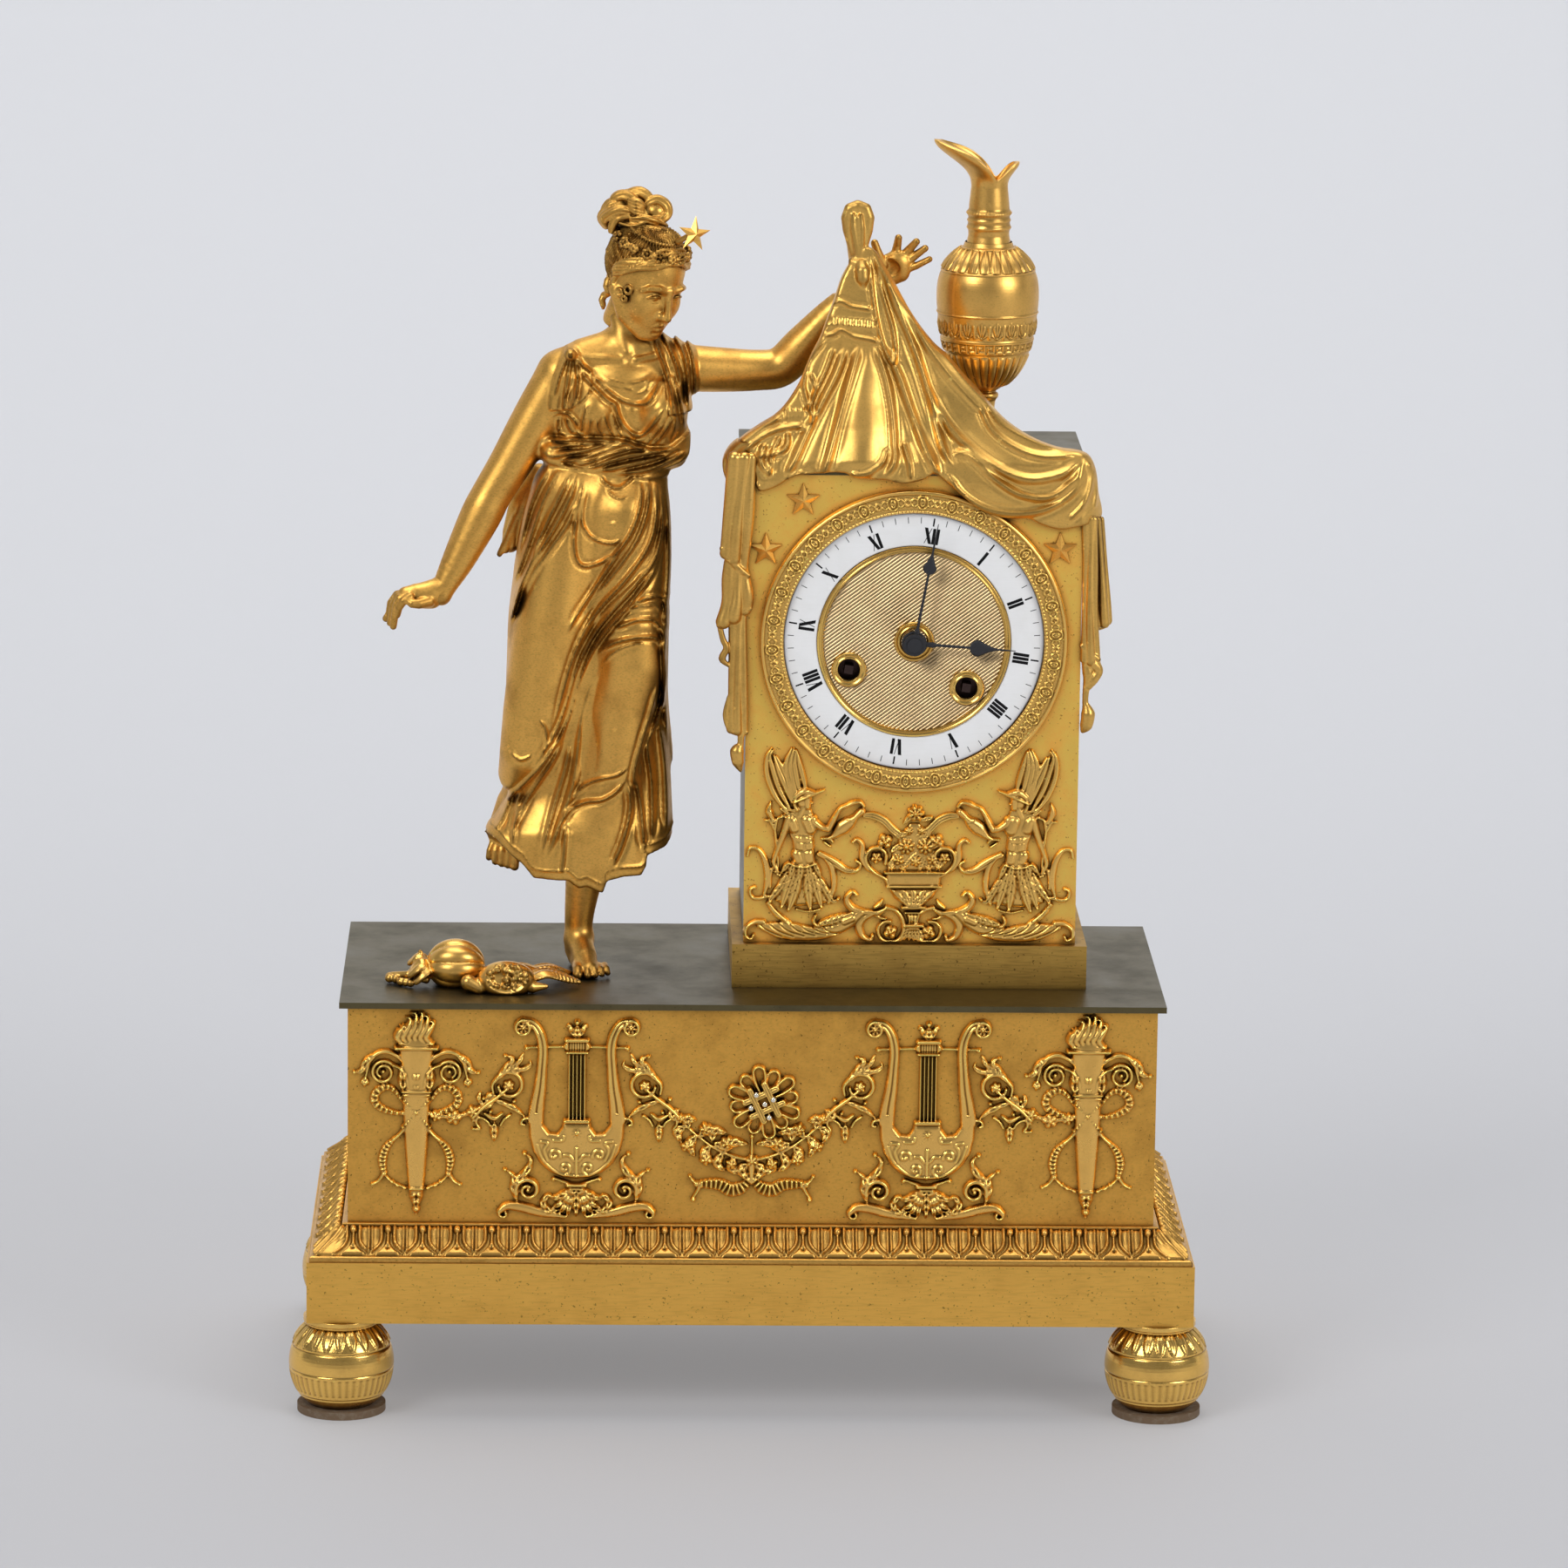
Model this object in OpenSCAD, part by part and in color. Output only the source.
// Figural mantel clock: gilt bronze figure, draped clock case and ewer on a long plinth.
// Origin: bottom centre of the whole object. +X right, -Y front, +Z up. Millimetres.

/* [Base] */
// Width of the plinth band
plinth_w = 290; // [270:1:360]
// Depth of the plinth band
plinth_d = 137.4; // [130:0.1:180]
// Height of the plinth band
plinth_h = 20.4; // [16:0.1:30]
// Height of the leaf moulding
mould_h = 10.6; // [8:0.1:16]
// Distance from the plinth face in to the box face
box_setback = 13; // [10:0.1:18]
// Height of the base box
box_h = 72.2; // [70:0.1:95]
// Wall thickness of the base castings
base_wall = 3; // [2:0.1:4]
// Thickness of the dark top plate
plate_t = 2; // [1.5:0.1:4]
// Overhang of the top plate past the box
plate_lap = 2.7; // [1:0.1:5]

/* [Feet] */
// Radius of the bun foot at its belly
foot_r = 17.25; // [14:0.05:21]
// Height of the bun foot
foot_h = 29.5; // [24:0.1:36]
// Inset of the foot's centre from the plinth edge
foot_inset = 11; // [9:0.1:20]
// Radius of the felt pad
pad_r = 14.5; // [10:0.1:16]
// Thickness of the felt pad
pad_t = 2.5; // [1:0.1:4]

/* [Case] */
// Sideways place of the clock case
case_x = 51.5; // [46:0.1:62]
// Width of the case
case_w = 109.1; // [104:0.1:132]
// Place of the case's front face
case_front_y = -30; // [-32:0.1:-29]
// Depth of the case
case_d = 76.7; // [76:0.1:84]
// Height of the case above its plinth, without the top plate
case_h = 155.6; // [153:0.1:172]
// Wall thickness of the case sides
case_wall = 2.5; // [1.5:0.1:3.5]
// Height of the case plinth
case_plinth_h = 14.5; // [10:0.1:20]
// Ledge of the case plinth around the case
case_ledge = 3.7; // [2:0.1:6]
// Overhang of the case's top plate
case_lap = 1.8; // [0.5:0.1:4]
// Thickness of the case's top plate
case_top_t = 2; // [1:0.1:4]

/* [Dial] */
// Height of the dial centre above the case plinth
dial_rise = 101.1; // [92:0.1:102]
// Turn of the dial and movement in the case, clockwise
dial_turn = 8.6; // [0:0.1:12]
// Outer radius of the bezel
bezel_r = 50.2; // [48:0.1:52]
// Height of the bezel in front of the case
bezel_t = 4; // [3:0.1:6]
// Outer radius of the enamel ring
enamel_r = 42.4; // [40:0.1:43.5]
// Inner radius of the enamel ring
enamel_in_r = 31.7; // [28:0.1:34]
// Length of the minute hand
minute_len = 40.4; // [34:0.1:42]
// Length of the hour hand
hour_len = 33.1; // [26:0.1:35]
// Angle of the minute hand at rest, clockwise from upright
minute_at = 10.25; // [0:0.05:360]
// Angle of the hour hand at rest, clockwise from upright
hour_at = 93.8; // [0:0.1:360]

/* [Movement] */
// Radius of the movement plates
mv_plate_r = 41; // [41:0.1:42]
// Distance between the movement plates
mv_span = 30.2; // [30.2:0.1:32]
// Radial running clearance of arbors and pivots
run_gap = 0.06; // [0.02:0.01:0.09]
// Length of the pendulum from its pin to the bob's centre
pend_len = 105; // [96:0.5:108]
// Radius of the pendulum bob
bob_r = 13; // [9:0.5:14]
// Radius of the bell
bell_r = 30; // [26:0.5:31]

/* [Back door] */
// Radius of the round opening in the case back
door_hole_r = 36; // [30:0.5:37]
// Lap of the door over its opening
door_lap = 2.5; // [1.5:0.1:3]

/* [Ewer] */
// Sideways place of the ewer
ewer_x = 76; // [70:0.1:88]
// Radius of the ewer's body
ewer_r = 16.9; // [13:0.1:19]
// Height of the ewer from its foot to the shoulder
ewer_body_h = 68; // [60:0.1:80]
// Radius of the ewer's neck
neck_r = 7.1; // [6:0.1:8]

/* [Figure] */
// Sideways place of the standing foot
fig_x = -56; // [-62:0.1:-50]
// Scale of the figure
fig_scale = 1; // [0.9:0.01:1.02]

/* [Hidden] */
$fn = 48;
seat = 0.3;
flat_gap = 0.05;
gilt = "goldenrod";
dark = "#5a4f32";
brass = "#c9a44a";
steel = "#5f6468";
plinth_z = pad_t + foot_h;
mould_z = plinth_z + plinth_h;
box_z = mould_z + mould_h;
box_w = plinth_w - 2*box_setback;
box_d = plinth_d - 2*box_setback;
box_front_y = -box_d/2;
plate_z = box_z + box_h;
deck_z = plate_z + plate_t;
case_z = deck_z + case_plinth_h;
case_back_y = case_front_y + case_d;
case_top_z = case_z + case_h;
roof_z = case_top_z + case_top_t;
dial_z = case_z + dial_rise;
front_t = 2;
panel_hole_r = mv_plate_r + 4;
foot_at = [plinth_w/2 - foot_inset, plinth_d/2 - foot_inset];

// Depths in the movement are counted forward from the middle of the object
mv_front_w = 22.2;
mv_back_w = mv_front_w - mv_span;
mv_plate_t = 1.8;
dial_back_w = 28.3;
face_w = -case_front_y;

// Arbor places on the movement plates
arm_x = 19.45;
arm_y = -12.5;
going_at = [arm_x, arm_y];
strike_at = [-arm_x, arm_y];
function polar(r, a) = [r*cos(a), r*sin(a)];
function heading(a, b) = atan2(b[1] - a[1], b[0] - a[0]);
function gap2(a, b) = norm([b[0] - a[0], b[1] - a[1]]);

// Teeth, first the wheel and then the pinion that it drives
great_z = 60;
leaf_z = 10;
wheel_z = 60;
pinion_z = 8;
third_z = 56;
cannon_z = 12;
minute_z = 36;
small_z = 10;
hour_z = 40;
escape_z = 30;
great_m = 2*gap2([0, 0], going_at)/(great_z + leaf_z);
centre_m = 0.42;
third_m = 0.36;
pin_m = 0.38;
lock_m = 0.3;
third_at = polar(centre_m*(wheel_z + pinion_z)/2, 50);
escape_at = third_at + polar(third_m*(third_z + pinion_z)/2, 128);
pin_at = strike_at + polar(great_m*(great_z + leaf_z)/2, 100);
lock_at = pin_at + polar(pin_m*(wheel_z + pinion_z)/2, 75);
fly_at = lock_at + polar(lock_m*(third_z + pinion_z)/2, 10);
motion_m = 0.4;
minute_wheel_at = polar(motion_m*(cannon_z + minute_z)/2, 60);
small_m = motion_m*(cannon_z + minute_z)/(small_z + hour_z);
anchor_at = [0, 33];
hammer_at = [-10, -35];
pillar_at = [[-11.3, 34.7], [22, 31], [37.7, 8], [0, -36.5], [-37.7, 8]];
dial_foot_at = [polar(36, 90), polar(36, 200), polar(36, 340)];
escape_r = 7.5;
pivot_r = 0.6;
arbor_r = 1;
wind_r = 2;
pipe_r = 3;
pend_y = 16;

// Where a place on the movement lies in the case, seen from the front
function turned(p) = [p[0]*cos(dial_turn) + p[1]*sin(dial_turn), p[1]*cos(dial_turn) - p[0]*sin(dial_turn)];
susp = [case_x + turned(anchor_at)[0], dial_z + turned(anchor_at)[1]];

// Shared shapes

module box_at(x0, x1, y0, y1, z0, z1) {
    translate([x0, y0, z0]) cube([x1 - x0, y1 - y0, z1 - z0]);
}

module frame_box(w, d, h, wall) {
    difference() {
        translate([-w/2, -d/2, 0]) cube([w, d, h]);
        translate([-w/2 + wall, -d/2 + wall, -1]) cube([w - 2*wall, d - 2*wall, h + 2]);
    }
}

// Places children on the movement: x right, y up, z forward, turned with the dial
module mv() {
    translate([case_x, 0, dial_z]) rotate([90, 0, 0]) rotate([0, 0, -dial_turn]) children();
}

// Places children on the dial axis, not turned with the dial
module face() {
    translate([case_x, 0, dial_z]) rotate([90, 0, 0]) children();
}

module disc(p, r, w0, w1) {
    translate([p[0], p[1], w0]) cylinder(r = r, h = w1 - w0);
}

module tube(p, r, hole, w0, w1) {
    difference() {
        disc(p, r, w0, w1);
        disc(p, hole, w0 - 1, w1 + 1);
    }
}

// Places a relief on the front of something: x right, y up, z towards the viewer
module relief(x, y, z) {
    translate([x, y, z]) rotate([90, 0, 0]) children();
}

function bez(a, b, c, d, n = 10) = [for (i = [0:n]) let (t = i/n)
    a*pow(1 - t, 3) + 3*b*t*pow(1 - t, 2) + 3*c*t*t*(1 - t) + d*pow(t, 3)];

function spiral(c, r0, r1, a0, a1, n = 14) = [for (i = [0:n]) let (t = i/n)
    c + polar(r0 + (r1 - r0)*t, a0 + (a1 - a0)*t)];

function side(p, i) = let (a = p[max(i - 1, 0)], b = p[min(i + 1, len(p) - 1)], d = b - a)
    [-d[1], d[0]]/max(norm(d), 0.001);

// A flat band along a path, with a half width that runs from one end to the other
module band(path, w0, w1) {
    n = len(path) - 1;
    half = [for (i = [0:n]) w0 + (w1 - w0)*i/n];
    polygon(concat([for (i = [0:n]) path[i] + side(path, i)*half[i]],
        [for (i = [n:-1:0]) path[i] - side(path, i)*half[i]]));
}

// A leaf along a path: pointed at its end and widest in the middle
module leaf(path, w) {
    n = len(path) - 1;
    half = [for (i = [0:n]) 0.25 + w*sin(180*(0.12 + 0.86*i/n))];
    polygon(concat([for (i = [0:n]) path[i] + side(path, i)*half[i]],
        [for (i = [n:-1:0]) path[i] - side(path, i)*half[i]]));
}

module both_sides() {
    children();
    mirror([1, 0, 0]) children();
}

module star_2d(r, r_in) {
    polygon([for (i = [0:9]) polar(i % 2 == 0 ? r : r_in, 90 + 36*i)]);
}

// Teeth on a wheel. The first tooth points along phase.
module gear_2d(m, z, phase, add = 0.75) {
    p = 360/z;
    r = m*z/2;
    tip = r + add*m;
    root = r - 1.05*m;
    polygon([for (i = [0:z - 1]) for (q = [[root, -0.27], [tip, -0.1], [tip, 0.1], [root, 0.27]])
        polar(q[0], phase + p*(i + q[1]))]);
}

// Phase that puts a gap of the driven gear on a tooth of the driver
function mesh_phase(way, phase, z1, z2) = way + 180 - (z1/z2)*(phase - way) + 180/z2;

module wheel(p, m, z, phase, w, t, arms = 4) {
    r = m*z/2 - 3.8*m;
    translate([p[0], p[1], w]) linear_extrude(t) difference() {
        gear_2d(m, z, phase);
        if (arms > 0) difference() {
            circle(r);
            circle(r*0.32);
            for (i = [0:arms - 1]) rotate(360/arms*i) translate([0, -0.9]) square([r + 1, 1.8]);
        }
    }
}

module pinion(p, m, z, phase, w, t) {
    translate([p[0], p[1], w]) linear_extrude(t) gear_2d(m, z, phase, 0.6);
}

module arbor(p) {
    disc(p, arbor_r, mv_back_w + 0.15, mv_front_w - 0.15);
    disc(p, pivot_r, mv_back_w - mv_plate_t, mv_front_w + mv_plate_t);
}

// Base

module felt_pads() {
    color("#8a7a55") for (x = [-1, 1], y = [-1, 1])
        translate([x*foot_at[0], y*foot_at[1], 0]) cylinder(r = pad_r, h = pad_t);
}

module bun_feet() {
    neck = foot_r*0.72;
    mid = foot_h*0.46;
    color(gilt) for (x = [-1, 1], y = [-1, 1])
        translate([x*foot_at[0], y*foot_at[1], pad_t]) difference() {
            union() {
                rotate_extrude() intersection() {
                    translate([0, mid]) union() {
                        circle(foot_r);
                        translate([0, -mid]) square([foot_r*0.7, foot_h]);
                    }
                    translate([0, 0.6]) square([foot_r + 1, foot_h - 4]);
                }
                cylinder(r = foot_r*0.66, h = 1);
                translate([0, 0, foot_h - 4]) cylinder(r = neck, h = 4);
                translate([0, 0, mid]) cylinder(r = foot_r, h = 1.2);
            }
            translate([0, 0, foot_h - 12]) cylinder(r = 2.5 + flat_gap, h = 13);
        }
}

module foot_bolts() {
    color(steel) for (x = [-1, 1], y = [-1, 1])
        translate([x*foot_at[0], y*foot_at[1], 0]) {
            translate([0, 0, plinth_z - 11]) cylinder(r = 2.5, h = 11 + base_wall + 6);
            translate([0, 0, plinth_z + base_wall]) difference() {
                cylinder(r = 5, h = 4, $fn = 6);
                translate([0, 0, -1]) cylinder(r = 2.5 + flat_gap, h = 6);
            }
        }
}

module base_plinth() {
    pad = foot_inset + 9;
    color(gilt) difference() {
        union() {
            translate([0, 0, plinth_z]) frame_box(plinth_w, plinth_d, plinth_h, base_wall);
            for (x = [-1, 1], y = [-1, 1])
                translate([x*(plinth_w/2 - pad/2), y*(plinth_d/2 - pad/2), plinth_z + base_wall/2])
                    cube([pad, pad, base_wall], center = true);
            translate([0, 0, mould_z - base_wall])
                frame_box(plinth_w - 1, plinth_d - 1, base_wall, box_setback + base_wall);
        }
        for (x = [-1, 1], y = [-1, 1])
            translate([x*foot_at[0], y*foot_at[1], plinth_z - 1]) cylinder(r = 2.7, h = base_wall + 2);
    }
}

// The sloping leaf moulding: a fillet, a swelling run of leaves and a top bead
module leaf_moulding() {
    run = box_setback - 1.8;
    color(gilt) translate([0, 0, mould_z]) difference() {
        union() {
            translate([-plinth_w/2 + 1.4, -plinth_d/2 + 1.4, 0])
                cube([plinth_w - 2.8, plinth_d - 2.8, 1.9]);
            for (i = [0:5]) let (f = i/6, g = (i + 1)/6, s = run*(1 - cos(90*g))*0.75 + 2.4)
                translate([-plinth_w/2 + s, -plinth_d/2 + s, 1.7 + (mould_h - 2.9)*f])
                    cube([plinth_w - 2*s, plinth_d - 2*s, (mould_h - 2.9)/6 + 0.2]);
            translate([-box_w/2 - 1.3, -box_d/2 - 1.3, mould_h - 1.2])
                cube([box_w + 2.6, box_d + 2.6, 1.2]);
        }
        translate([-box_w/2 + base_wall, -box_d/2 + base_wall, -1])
            cube([box_w - 2*base_wall, box_d - 2*base_wall, mould_h + 2]);
    }
}

module base_box() {
    color(gilt) translate([0, 0, box_z]) frame_box(box_w, box_d, box_h, base_wall);
}

case_bolt_at = [for (x = [-1, 1], y = [-1, 1])
    [case_x + x*(case_w/2 - 4), case_front_y + case_d/2 + y*(case_d/2 - 4)]];
fig_bolt = [fig_x + 0.5, 2];

module base_top_plate() {
    w = box_w + 2*plate_lap;
    d = box_d + 2*plate_lap;
    color(dark) difference() {
        translate([-w/2, -d/2, plate_z]) cube([w, d, plate_t]);
        for (p = case_bolt_at) translate([p[0], p[1], plate_z - 1]) cylinder(r = 1.7, h = plate_t + 2);
        translate([fig_bolt[0], fig_bolt[1], plate_z - 1]) cylinder(r = 2.2, h = plate_t + 2);
    }
}

// Bolts and nuts that hold the case and the figure down on the top plate
module case_bolts() {
    color(steel) {
        for (p = case_bolt_at) translate([p[0], p[1], plate_z - 3]) {
            cylinder(r = 3.2, h = 3);
            cylinder(r = 1.6, h = 3 + plate_t + 8);
        }
        translate([fig_bolt[0], fig_bolt[1], plate_z - 3.4]) difference() {
            cylinder(r = 4, h = 3.4, $fn = 6);
            translate([0, 0, -1]) cylinder(r = 2.05, h = 6);
        }
        translate([fig_bolt[0], fig_bolt[1], plate_z - 6]) cylinder(r = 2, h = plate_t + 6 + 5.9);
    }
}

// Reliefs on the base front, drawn from their own bottom centre

relief_t = 2.2;

module torch_2d() {
    circle(r = 1.5);
    polygon([[-1.4, 0.8], [1.4, 0.8], [3.6, 40], [-3.6, 40]]);
    translate([-2.4, 10]) square([4.8, 1.4]);
    polygon([[-3.2, 38], [3.2, 38], [6.6, 49], [-6.6, 49]]);
    translate([-5, 49]) square([10, 3.4]);
    translate([-6.2, 52.4]) square([12.4, 1.8]);
    leaf(bez([0, 53.6], [-4, 57], [4, 60], [1, 64.5]), 3);
    leaf(bez([-3, 53.6], [-6, 57], [-1, 59], [-4, 62]), 1.8);
    leaf(bez([3, 53.6], [6, 56], [2, 59], [5, 61]), 1.8);
    both_sides() {
        band(bez([2.6, 36], [12, 41], [9, 53], [15, 50]), 1.1, 0.8);
        band(spiral([14, 46.5], 3.6, 1, 90, -230), 0.9, 0.6);
        leaf(bez([15, 50.5], [19, 51], [19.5, 46], [18.5, 42]), 1.6);
        leaf(bez([7.5, 42], [11, 41], [14, 38.5], [18.5, 40]), 1.3);
        band(bez([1, 31.5], [7, 39], [12, 33], [2.6, 29]), 0.8, 0.8);
        band(bez([1.5, 30], [11, 26], [-7, 15], [8, 11]), 0.7, 0.9);
        band(spiral([7.4, 15.5], 4.6, 3.4, -85, 110), 0.9, 0.7);
    }
    translate([0, 30.5]) circle(r = 2.4);
}

module torch_mounts() {
    color(gilt) both_sides() relief(torch_x, box_front_y, box_z + torch_z) {
        linear_extrude(relief_t) torch_2d();
        translate([0, 0, relief_t - 0.2]) linear_extrude(1.1)
            polygon([[-0.7, 2], [0.7, 2], [2.4, 38], [-2.4, 38]]);
    }
}

torch_x = box_w/2 - 21.6;
torch_z = 4;
garland_z = 14.5;
lyre_x = 57.2;

module lyre_2d() {
    difference() {
        union() {
            both_sides() {
                band(bez([0, 12], [19, 14], [16, 28], [10, 42], 14), 5.2, 2.1);
                band(bez([10, 42], [7, 50], [9, 60], [14.5, 61.5]), 2.1, 1.3);
                band(spiral([14.6, 58.4], 3.3, 0.8, 90, -300), 1, 0.8);
                band(bez([1.5, 3], [9, 0.5], [15, 3], [22, 1.2]), 1.3, 0.8);
                band(spiral([16.5, 8], 4.6, 1.2, -60, -400), 0.9, 0.7);
                leaf(bez([5, 6], [10, 12], [15, 12], [19, 15.5]), 1.5);
                leaf(bez([1, 4], [5, 9], [9, 9], [8.5, 12.5]), 1.5);
            }
            translate([0, 20]) circle(r = 12.5);
            polygon([[-6, 1], [6, 1], [3, 9], [-3, 9]]);
        }
        translate([0, 38]) polygon([[-5.6, -10], [5.6, -10], [7.5, 6], [-7.5, 6]]);
        translate([0, 30.2]) circle(r = 5.4);
    }
    translate([-4.6, 52.6]) square([9.2, 3.4]);
    for (i = [-2:2]) translate([1.6*i - 0.35, 26]) square([0.7, 27]);
    for (i = [-2:2]) leaf([[0, 55.5], polar(4.5, 90 - 26*i) + [0, 57], polar(8.6, 90 - 22*i) + [0, 55]], 1.1);
    translate([0, 21]) circle(r = 3.2);
}

module lyre_mounts() {
    color(gilt) for (x = [-lyre_x, lyre_x]) relief(x, box_front_y, box_z + 1.6) {
        linear_extrude(relief_t) lyre_2d();
        translate([0, 20, relief_t - 0.2]) cylinder(r = 3, h = 1.2);
        translate([0, 11, relief_t - 0.2]) linear_extrude(1)
            both_sides() band(spiral([4.2, 6], 3, 0.8, -90, 250), 0.7, 0.5);
    }
}

garland_w = 27;

module garland_2d() {
    path = bez([-garland_w, 24], [-garland_w*0.62, 5], [-garland_w*0.2, 2], [0, 3], 12);
    both_sides() {
        band(path, 2.2, 3.4);
        for (i = [1:11]) translate(path[i] + side(path, i)*(i % 2 == 0 ? 2.4 : -2.4)) circle(r = 1.9);
        band(bez([-garland_w, 24], [-garland_w - 3, 28], [-garland_w + 3, 31], [-garland_w - 3, 36]), 1, 0.8);
        band(spiral([-garland_w - 3.5, 33], 3, 0.8, 80, 380), 0.9, 0.6);
        leaf(bez([-garland_w, 25], [-garland_w + 4, 27], [-garland_w + 7, 25], [-garland_w + 9, 22]), 1.6);
        band(bez([-3, -4], [-8, -8.5], [-12, -2], [-18, -6]), 1.4, 1.2);
        band(bez([-0.5, -2], [-6, 1], [-8, -6], [-1, -4.5]), 0.8, 0.8);
    }
    circle(r = 3.4);
    translate([0, -3.4]) circle(r = 2);
}

module link_2d() {
    path = bez([lyre_x + 13.5, 26], [lyre_x + 20, 13], [torch_x - 16, 13], [torch_x - 8, 20]);
    band(path, 1.3, 1.6);
    for (i = [4:2:8]) translate(path[i]) circle(r = 2.4);
    band(bez([lyre_x + 13.5, 25], [lyre_x + 20, 30], [lyre_x + 18, 36], [lyre_x + 14.5, 37]), 1, 0.7);
    band([path[2], path[2] + [0.6, -3], path[2] + [0.6, -6.5]], 0.8, 1.6);
}

// The middle garland, and the short ones between lyre and torch
module garland_mount() {
    color(gilt) relief(0, box_front_y, box_z + garland_z) {
        linear_extrude(relief_t + 0.2) garland_2d();
        linear_extrude(relief_t - 0.2) both_sides() difference() {
            translate([0, 4]) link_2d();
            translate([torch_x, torch_z - garland_z]) torch_2d();
        }
    }
}

module rosette_mount() {
    color(gilt) relief(3.2, box_front_y, box_z + 40) {
        for (i = [0:7]) rotate(45*i) translate([5.2, 0, 0]) difference() {
            cylinder(r = 4.2, h = 2.6);
            translate([0, 0, -1]) cylinder(r = 2.7, h = 6);
        }
        cylinder(r = 3.2, h = 3.4);
        for (i = [0:7]) rotate(45*i + 22.5) translate([8.6, 0, 0]) cylinder(r = 1.1, h = 3);
        translate([0, 0, 3.2]) cylinder(r = 1.6, h = 1);
    }
}

// Fruit and leaves lying on the plate beside the standing foot

module fruit_casting() {
    melon = [-100, -30];
    pome = [-82, -38];
    color(gilt) translate([0, 0, deck_z]) {
        intersection() {
            union() for (i = [0:4]) translate([melon[0], melon[1], 6.2])
                rotate([0, 90, 72*i]) translate([0, 0.9, 0]) sphere(r = 7.4);
            box_at(melon[0] - 20, melon[0] + 20, melon[1] - 20, melon[1] + 20, 0, 20);
        }
        intersection() {
            translate([pome[0], pome[1], 1.5]) sphere(r = 6.4);
            box_at(pome[0] - 20, pome[0] + 20, pome[1] - 20, pome[1] + 20, 0, 5.2);
        }
        linear_extrude(2) {
            leaf(bez([-96, -30], [-104, -34], [-110, -24], [-119, -30]), 3.4);
            leaf(bez([-98, -24], [-104, -18], [-110, -17], [-114, -20]), 2.6);
            leaf(bez([-92, -32], [-90, -44], [-78, -46], [-70, -42]), 3.6);
            leaf(bez([-88, -30], [-80, -22], [-74, -30], [-61, -26]), 4.2);
            leaf(bez([-84, -26], [-78, -16], [-70, -20], [-64, -16]), 3.2);
            band(bez([-100, -30], [-92, -36], [-84, -32], [-76, -30]), 5, 4);
        }
    }
}

// Figure, built about the standing foot and then put in place

function lerp(a, b, t) = a + (b - a)*t;
function smooth(t) = let (u = min(max(t, 0), 1)) u*u*(3 - 2*u);
// A value read between the rows of a short table of heights
function profile(rows, h, k) = let (n = len(rows) - 1,
    i = max([0, for (j = [0:n - 1]) if (rows[j][0] <= h) j]))
    lerp(rows[i][k], rows[i + 1][k], smooth((h - rows[i][0])/(rows[i + 1][0] - rows[i][0])));

// Height above the plate, centre x, half width, centre y, half depth
skirt_rows = [[40, -2, 27, 0, 21], [50, -1.5, 28.5, 0, 21.5], [62, 1, 27, 1, 21], [90, 1.4, 27, 0, 20],
    [120, 2, 26.6, -1, 19], [145, 4, 25, -1, 17.5], [160, 6, 21.5, -1, 15], [172, 9, 18.5, -1, 12.5]];
torso_rows = [[160, 8, 18.5, -1, 13], [172, 9.5, 20, -1, 13], [184, 11, 22, -2, 15], [194, 12, 22.3, -3, 15],
    [202, 13, 22.4, -1, 12], [209, 14, 16, 1, 9], [216, 16.5, 7.6, 0, 7]];
hem_h = 40;
hem_lift = 9;

function ring(rows, h, n, folds, depth, twist) = [for (i = [0:n - 1]) let (a = 360*i/n,
    f = 1 + depth*cos(folds*a + twist*h) + 0.6*depth*cos((folds + 5)*a - twist*h*1.7 + 40))
    [profile(rows, h, 1) + profile(rows, h, 2)*f*cos(a),
     profile(rows, h, 3) + profile(rows, h, 4)*f*sin(a), h]];

module loft(rings) {
    n = len(rings[0]);
    m = len(rings) - 1;
    polyhedron(points = [for (r = rings) each r],
        faces = concat([[for (i = [0:n - 1]) i]], [[for (i = [n - 1:-1:0]) m*n + i]],
            [for (j = [0:m - 1], i = [0:n - 1]) [j*n + i, (j + 1)*n + i, (j + 1)*n + (i + 1) % n]],
            [for (j = [0:m - 1], i = [0:n - 1]) [j*n + i, (j + 1)*n + (i + 1) % n, j*n + (i + 1) % n]]),
        convexity = 6);
}

module link(a, ra, b, rb, n = 12) {
    hull() {
        translate(a) sphere(r = ra, $fn = n);
        translate(b) sphere(r = rb, $fn = n);
    }
}

module chain(points, radii, n = 12) {
    for (i = [0:len(points) - 2]) link(points[i], radii[i], points[i + 1], radii[i + 1], n);
}

module fingers(root, way, spread, size) {
    for (i = [-1.5:1:1.5]) let (a = root + spread*i, b = a + way*0.55,
        c = b + way*0.45 + [0, 0, -0.15*abs(i)])
        chain([a, b, c], [size, size*0.9, size*0.7], 6);
}

skirt_n = 48;
module skirt() {
    heights = [for (i = [0:18]) lerp(hem_h, 172, i/18)];
    loft([for (h = heights) [for (p = ring(skirt_rows, h, skirt_n, 11, 0.035 + 0.05*smooth((90 - h)/50), 1.1))
        [p[0], p[1], p[2] -
          (h < 62 ? (1 - (h - hem_h)/22)*hem_lift*(0.5 + 0.5*cos(2*atan2(p[1], p[0] + 2) + 60)) : 0)]]]);
}

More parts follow.
